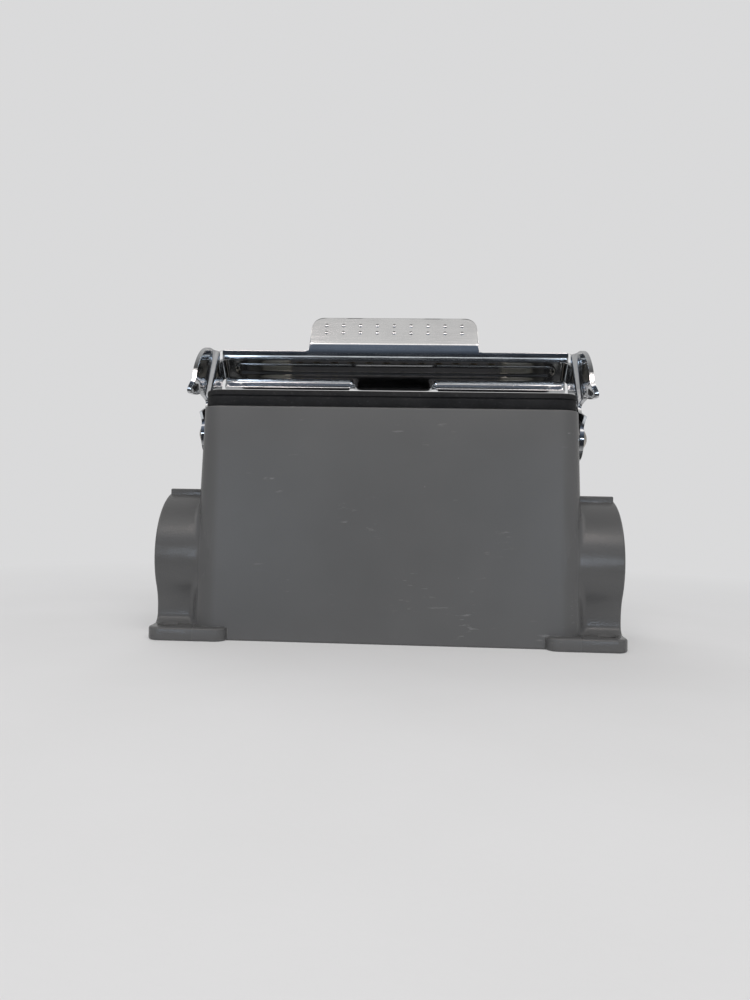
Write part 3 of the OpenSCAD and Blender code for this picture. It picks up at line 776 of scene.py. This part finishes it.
class Shader:
    """A material's nodes, with one call for each node."""

    def __init__(self, name):
        self.material = bpy.data.materials.new(name)
        self.material.use_nodes = True
        self.tree = self.material.node_tree
        self.surface = self.tree.nodes["Principled BSDF"]
        self.place = self.add("ShaderNodeTexCoord").outputs["Object"]

    def add(self, kind, inputs=None, **settings):
        return add_node(self.tree, kind, inputs, **settings)

    def noise(self, scale, detail=2.0, stretch=None, roughness=0.5):
        """Noise whose scale is in features per millimetre."""
        place = self.place
        if stretch:
            place = self.add("ShaderNodeMapping", {"Vector": place, "Scale": stretch}).outputs[0]
        node = self.add("ShaderNodeTexNoise", {"Vector": place, "Scale": scale / MM,
                                               "Detail": detail, "Roughness": roughness})
        return node.outputs["Fac"]

    def ramp(self, value, low, high, to_low=0.0, to_high=1.0):
        node = self.add("ShaderNodeMapRange", {"Value": value, "From Min": low, "From Max": high,
                                               "To Min": to_low, "To Max": to_high})
        return node.outputs["Result"]

    def maths(self, operation, a, b):
        return self.add("ShaderNodeMath", {0: a, 1: b}, operation=operation).outputs[0]

    def blend(self, share, a, b):
        """Mixes two colours."""
        return self.add("ShaderNodeMix", {0: share, 6: a, 7: b}, data_type="RGBA").outputs[2]

    def edges(self, radius):
        """High where the surface turns sharply within a radius in millimetres."""
        soft = self.add("ShaderNodeBevel", {"Radius": radius * MM}, samples=4).outputs[0]
        true = self.add("ShaderNodeNewGeometry").outputs["Normal"]
        likeness = self.add("ShaderNodeVectorMath", {0: soft, 1: true}, operation="DOT_PRODUCT")
        return self.ramp(likeness.outputs["Value"], 1.0, 0.8)

    def specks(self, scale, size, share):
        """Small round spots, in a share of the cells of a pattern."""
        cells = self.add("ShaderNodeTexVoronoi", {"Vector": self.place, "Scale": scale / MM})
        chosen = self.ramp(cells.outputs["Color"], 1 - share, 1 - share + 0.01)
        spot = self.ramp(cells.outputs["Distance"], size, size * 0.5)
        return self.maths("MULTIPLY", spot, chosen)

    def bump(self, height, distance, normal=None, strength=1.0):
        inputs = {"Height": height, "Distance": distance * MM, "Strength": strength}
        if normal:
            inputs["Normal"] = normal
        return self.add("ShaderNodeBump", inputs).outputs[0]

    def finish(self, **inputs):
        """Feeds the surface by its sockets' names, and returns the material."""
        named = {key.replace("_", " "): value for key, value in inputs.items()}
        feed(self.tree, self.surface, named)
        return self.material


def coated_metal():
    """Dark grey powder coating on a casting: orange peel, rubbed edges, scuffs and dust."""
    s = Shader("coated_metal")
    broad = s.ramp(s.noise(0.03, 3), 0.3, 0.7)
    colour = s.blend(broad, (0.078, 0.078, 0.078, 1), (0.088, 0.088, 0.088, 1))
    worn = s.maths("MULTIPLY", s.edges(0.5), s.ramp(s.noise(0.5, 4), 0.5, 0.72))
    colour = s.blend(s.maths("MULTIPLY", worn, 0.6), colour, (0.42, 0.41, 0.4, 1))
    scuff = s.maths("MULTIPLY", s.ramp(s.noise(0.6, 4, (0.35, 1, 1.6)), 0.62, 0.74),
                    s.ramp(s.noise(0.05, 2), 0.58, 0.66))
    colour = s.blend(s.maths("MULTIPLY", scuff, 0.35), colour, (0.3, 0.3, 0.3, 1))
    dust = s.maths("MULTIPLY", s.specks(0.22, 0.1, 0.1), 0.6)
    colour = s.blend(dust, colour, (0.5, 0.49, 0.48, 1))
    aside = s.add("ShaderNodeSeparateXYZ", {0: s.place}).outputs["X"]
    rough_cast = s.ramp(s.maths("ABSOLUTE", aside, 0.0), *ROUGH_CAST_X)
    peel = s.maths("MULTIPLY", s.noise(1.7, 3, roughness=0.6), s.ramp(rough_cast, 0, 1, 0.3, 1.0))
    return s.finish(Base_Color=colour, Roughness=s.ramp(rough_cast, 0, 1, 0.36, 0.13),
                    Normal=s.bump(peel, 0.07), Specular_IOR_Level=0.35)


def rubber():
    """Black seal rubber, slightly uneven, with dust and a soft grain."""
    s = Shader("rubber")
    uneven = s.ramp(s.noise(0.15, 4), 0.35, 0.7)
    colour = s.blend(uneven, (0.007, 0.007, 0.0075, 1), (0.013, 0.013, 0.0135, 1))
    film = s.maths("MULTIPLY", s.ramp(s.noise(1.3, 4), 0.6, 0.8), 0.2)
    dust = s.maths("MAXIMUM", s.specks(0.5, 0.14, 0.14), film)
    colour = s.blend(s.maths("MULTIPLY", dust, 0.5), colour, DUST)
    return s.finish(Base_Color=colour, Roughness=s.ramp(s.noise(0.8, 3), 0.3, 0.7, 0.5, 0.68),
                    Normal=s.bump(s.noise(1.6, 3), 0.05), Specular_IOR_Level=0.25)


def plated(name, light, dark, rough):
    """Plated metal with a faint grain, rubbed edges and soft waves from rolling or turning."""
    s = Shader(name)
    grain = s.noise(3.0, 3, (0.04, 1, 1))
    cloud = s.ramp(s.noise(0.12, 4), 0.35, 0.7)
    colour = s.blend(cloud, light, dark)
    worn = s.maths("MULTIPLY", s.edges(0.25), 0.5)
    colour = s.blend(worn, colour, (0.85, 0.84, 0.82, 1))
    streaks = s.ramp(grain, 0.3, 0.7, rough * 0.7, rough * 1.3)
    roughness = s.maths("ADD", streaks, s.maths("MULTIPLY", cloud, 0.04))
    wave = s.bump(s.noise(0.08, 2), 0.02)
    return s.finish(Base_Color=colour, Metallic=1.0, Roughness=roughness,
                    Normal=s.bump(grain, 0.004, wave))


def moulded(name, low, high, rough):
    """Moulded plastic with a fine spark-eroded grain."""
    s = Shader(name)
    colour = s.blend(s.ramp(s.noise(0.1, 3), 0.3, 0.7), low, high)
    colour = s.blend(s.maths("MULTIPLY", s.edges(0.35), 0.25), colour, (0.2, 0.2, 0.2, 1))
    colour = s.blend(s.maths("MULTIPLY", s.specks(0.4, 0.1, 0.06), 0.4), colour, DUST)
    soft = s.add("ShaderNodeBevel", {"Radius": 0.2 * MM}, samples=4).outputs[0]
    return s.finish(Base_Color=colour, Normal=s.bump(s.noise(3.5, 2), 0.02, soft),
                    Roughness=s.ramp(s.noise(1.0, 2), 0.3, 0.7, rough, rough + 0.1))


def all_materials():
    """Every material by the short name that clothe() and main() use."""
    return {
        "coat": coated_metal(),
        "rubber": rubber(),
        "lever": plated("bright_plate", (0.6, 0.61, 0.62, 1), (0.52, 0.53, 0.54, 1), 0.1),
        "rivet": plated("rivet_plate", (0.5, 0.47, 0.42, 1), (0.4, 0.37, 0.32, 1), 0.2),
        "zinc": plated("zinc_plate", (0.62, 0.62, 0.6, 1), (0.5, 0.5, 0.48, 1), 0.28),
        "earth": plated("tinned_plate", (0.62, 0.6, 0.54, 1), (0.55, 0.53, 0.47, 1), 0.3),
        "contact": plated("contact_plate", (0.72, 0.6, 0.35, 1), (0.6, 0.48, 0.26, 1), 0.25),
        "insert": moulded("insert_plastic", (0.028, 0.028, 0.03, 1),
                          (0.036, 0.036, 0.038, 1), 0.42),
        "carrier": moulded("carrier_plastic", (0.05, 0.05, 0.052, 1),
                           (0.06, 0.06, 0.062, 1), 0.45),
    }


def clothe(frame, materials):
    """Gives every CAD node that stays in view its material."""
    wear = {"insert_body": "insert", "terminal_carrier": "carrier", "socket_contacts": "contact"}
    for name, node in frame["nodes"].items():
        kind = wear.get(name, "zinc")
        if name.startswith("pivot_rivet"):
            kind = "rivet"
        if name.startswith("earth_plate"):
            kind = "earth"
        node.data.materials.clear()
        node.data.materials.append(materials[kind])


# ---- Surroundings ----

def floor():
    """A pale floor that keeps the shadow and runs out into the background.

    Reflections see it dim in front of the object, like the room there.
    """
    far = 4000
    stage = mesh_piece("floor", [(-far, -far, 0), (far, -far, 0), (far, far, 0), (-far, far, 0)],
                       [(0, 1, 2, 3)])
    s = Shader("floor")
    dirt = s.blend(s.ramp(s.noise(0.02, 4), 0.3, 0.8), (0.74, 0.74, 0.745, 1), (0.7, 0.7, 0.7, 1))
    s.finish(Base_Color=dirt, Roughness=0.75, Normal=s.bump(s.noise(0.4, 3), 0.05))
    pale = s.add("ShaderNodeEmission", {"Color": BACKGROUND, "Strength": 1.0}).outputs[0]
    away = s.add("ShaderNodeVectorMath", {0: s.place}, operation="LENGTH").outputs["Value"]
    share = s.ramp(away, 0.09, 0.36, 0.3, 1.0)
    plain_floor = s.add("ShaderNodeMixShader", {0: share, 1: s.surface.outputs[0], 2: pale})
    glossy = s.add("ShaderNodeLightPath").outputs["Is Glossy Ray"]
    y = s.add("ShaderNodeSeparateXYZ", {0: s.place}).outputs["Y"]
    front = s.maths("MULTIPLY", glossy, s.ramp(y, -0.02, -0.1))
    dim = s.add("ShaderNodeEmission", {"Color": (0.03, 0.033, 0.038, 1)}).outputs[0]
    both = s.add("ShaderNodeMixShader", {0: front, 1: plain_floor.outputs[0], 2: dim})
    s.tree.links.new(both.outputs[0], s.tree.nodes["Material Output"].inputs["Surface"])
    stage.data.materials.append(s.material)


def fill_ramp(ramp, stops):
    """Sets a colour ramp's stops, given by positions from -1 to 1."""
    while len(ramp.elements) < len(stops):
        ramp.elements.new(0.5)
    for element, (place, colour) in zip(ramp.elements, stops):
        element.position = (place + 1) / 2
        element.color = (*colour, 1)


def room_colour(tree):
    """What reflections meet: FRONT_ROOM in front of the object, plain grey behind it."""
    way = add_node(tree, "ShaderNodeTexCoord").outputs["Generated"]
    parts = add_node(tree, "ShaderNodeSeparateXYZ", {0: way}).outputs
    height = add_node(tree, "ShaderNodeMapRange",
                      {"Value": parts["Z"], "From Min": -1.0, "From Max": 1.0}).outputs[0]
    front = add_node(tree, "ShaderNodeValToRGB", {0: height})
    fill_ramp(front.color_ramp, FRONT_ROOM)
    rear = add_node(tree, "ShaderNodeMapRange",
                    {"Value": parts["Y"], "From Min": -0.15, "From Max": 0.35}).outputs[0]
    room = add_node(tree, "ShaderNodeMix", {0: rear, 6: front.outputs[0], 7: (0.25, 0.25, 0.25, 1)},
                    data_type="RGBA")
    return room.outputs[2]


def surroundings():
    """The world: pale to the camera, a plain fill as light, a dim room in reflections."""
    world = bpy.data.worlds.new("studio")
    bpy.context.scene.world = world
    world.use_nodes = True
    tree = world.node_tree
    tree.nodes.clear()

    def glow(colour, strength):
        inputs = {"Color": colour, "Strength": strength}
        return add_node(tree, "ShaderNodeBackground", inputs).outputs[0]

    def mix(share, a, b):
        return add_node(tree, "ShaderNodeMixShader", {0: share, 1: a, 2: b}).outputs[0]

    rays = add_node(tree, "ShaderNodeLightPath").outputs
    fill = glow((0.97, 0.98, 1.0, 1), 0.36)
    light = mix(rays["Is Glossy Ray"], fill, glow(room_colour(tree), 2.0))
    seen = mix(rays["Is Camera Ray"], light, glow(BACKGROUND, 1.0))
    add_node(tree, "ShaderNodeOutputWorld", {0: seen})


def lamp(name, at, size, power, colour=(1, 1, 1), reflected=False):
    """A rectangular soft lamp at a place in metres, aimed at the object's middle."""
    light = bpy.data.lights.new(name, "AREA")
    light.shape, light.size, light.size_y = "RECTANGLE", *size
    light.energy, light.color = power, colour
    stand = bpy.data.objects.new(name, light)
    stand.location = at
    aim = Vector((0, 0, 0.06)) - Vector(at)
    stand.rotation_euler = aim.to_track_quat("-Z", "Y").to_euler()
    stand.visible_glossy = reflected
    bpy.context.scene.collection.objects.link(stand)


def lights():
    """Soft lamps that reflections don't see, and small windows at the sides that they do."""
    lamp("upper_softbox", (0.1, -0.62, 0.66), (0.9, 0.42), 4.2, (1, 0.99, 0.97))
    lamp("low_strip", (0.0, -0.75, 0.15), (0.9, 0.05), 1.0)
    lamp("rear_fill", (-0.3, 0.7, 0.7), (0.8, 0.8), 3.0)
    for side in SIDES:
        lamp("low_window", (side * 0.36, -0.93, 0.075), (0.22, 0.075), 0.45,
             (0.66, 0.8, 1.0), reflected=True)
        lamp("high_window", (side * 0.27, -0.68, 0.70), (0.2, 0.09), 0.5,
             (1.0, 0.86, 0.83), reflected=True)


def camera():
    """Looks at the long side from the photograph's viewing angle."""
    turn = Matrix.Identity(3)
    for axis, angle in CAMERA_TURNS:
        turn = turn @ Matrix.Rotation(angle, 3, axis)
    turn.transpose()
    right, ahead, up = turn.col[0], turn.col[1], turn.col[2]
    place = Matrix((right, up, -ahead)).transposed().to_4x4()
    place.translation = Vector(CAMERA_PLACE) * MM
    data = bpy.data.cameras.new("view")
    data.sensor_width, data.lens = CAMERA_SENSOR, CAMERA_LENS
    data.clip_start, data.clip_end = 0.01, 20.0
    viewer = bpy.data.objects.new("view", data)
    viewer.matrix_world = place
    bpy.context.scene.collection.objects.link(viewer)
    bpy.context.scene.camera = viewer


def main():
    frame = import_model()
    bpy.context.scene.view_settings.view_transform = "Standard"
    materials = all_materials()
    clothe(frame, materials)
    pieces = [(housing(), "housing", "housing", "coat", "housing"),
              (rim_gasket(), "housing", "rim_seal", "rubber", "seal"),
              (lever(), "lever", "locking_lever", "lever", "lever")]
    for piece, body, node, kind, slot in pieces:
        piece.data.materials.clear()
        piece.data.materials.append(materials[kind])
        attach(piece, body)
        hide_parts(node)
    floor()
    surroundings()
    lights()
    camera()


main()
